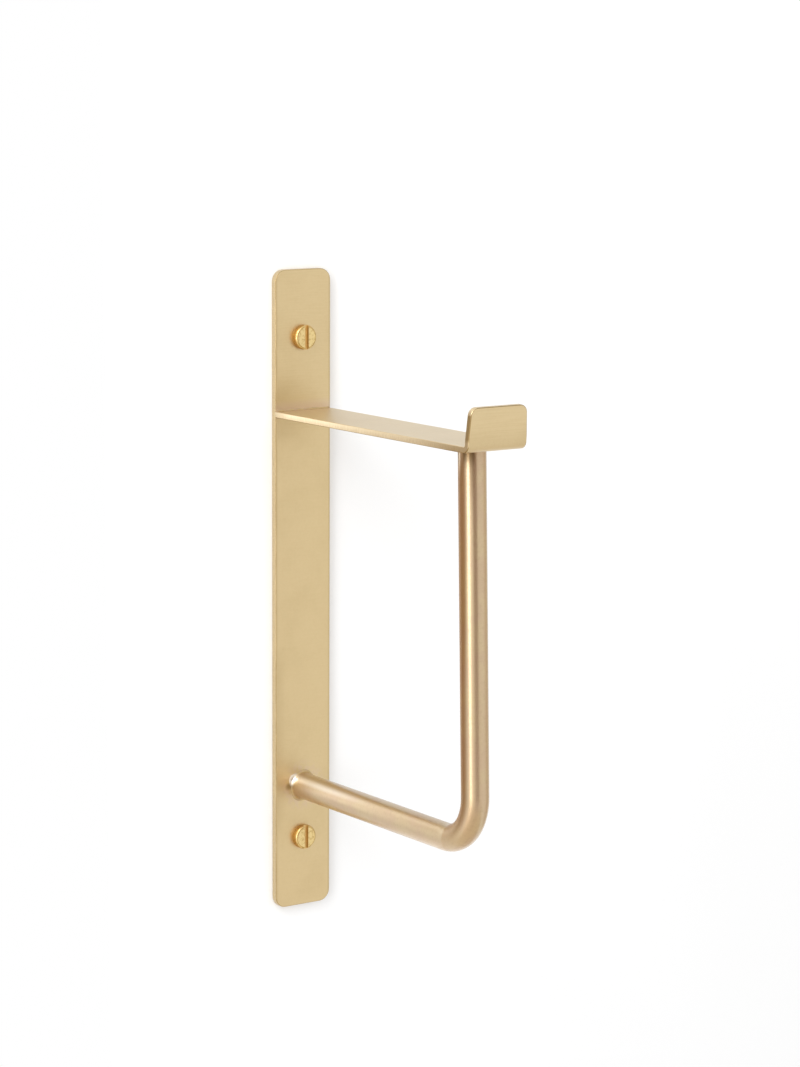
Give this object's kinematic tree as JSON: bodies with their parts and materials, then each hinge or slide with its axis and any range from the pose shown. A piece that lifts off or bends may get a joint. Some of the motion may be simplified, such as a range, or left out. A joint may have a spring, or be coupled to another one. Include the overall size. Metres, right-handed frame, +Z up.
{
  "type": "wall hook with shelf",
  "caption": "Brass wall hook: a narrow screwed-on back plate carries a short shelf with an upturned lip, and a bent round bar below it closes a hanging loop.",
  "frame": {"origin": "middle of the back plate's rear face, on the wall", "axes": "+X to the right for someone facing the hook, +Y into the wall, +Z up along the plate"},
  "size_m": [0.0256, 0.1667, 0.25],
  "materials": {
    "plate_brass": "satin brushed",
    "bar_brass": "satin, drawn bar",
    "braze_brass": "bright filler",
    "screw_brass": "bright turned"
  },
  "bodies": {
    "root": {"back_plate": "plate_brass", "shelf": "plate_brass", "hook_rod": "bar_brass", "shelf_braze_upper": "braze_brass", "shelf_braze_lower": "braze_brass", "rod_foot_braze": "braze_brass", "rod_top_braze": "braze_brass", "mounting_screws": "screw_brass"}
  },
  "joints": []
}
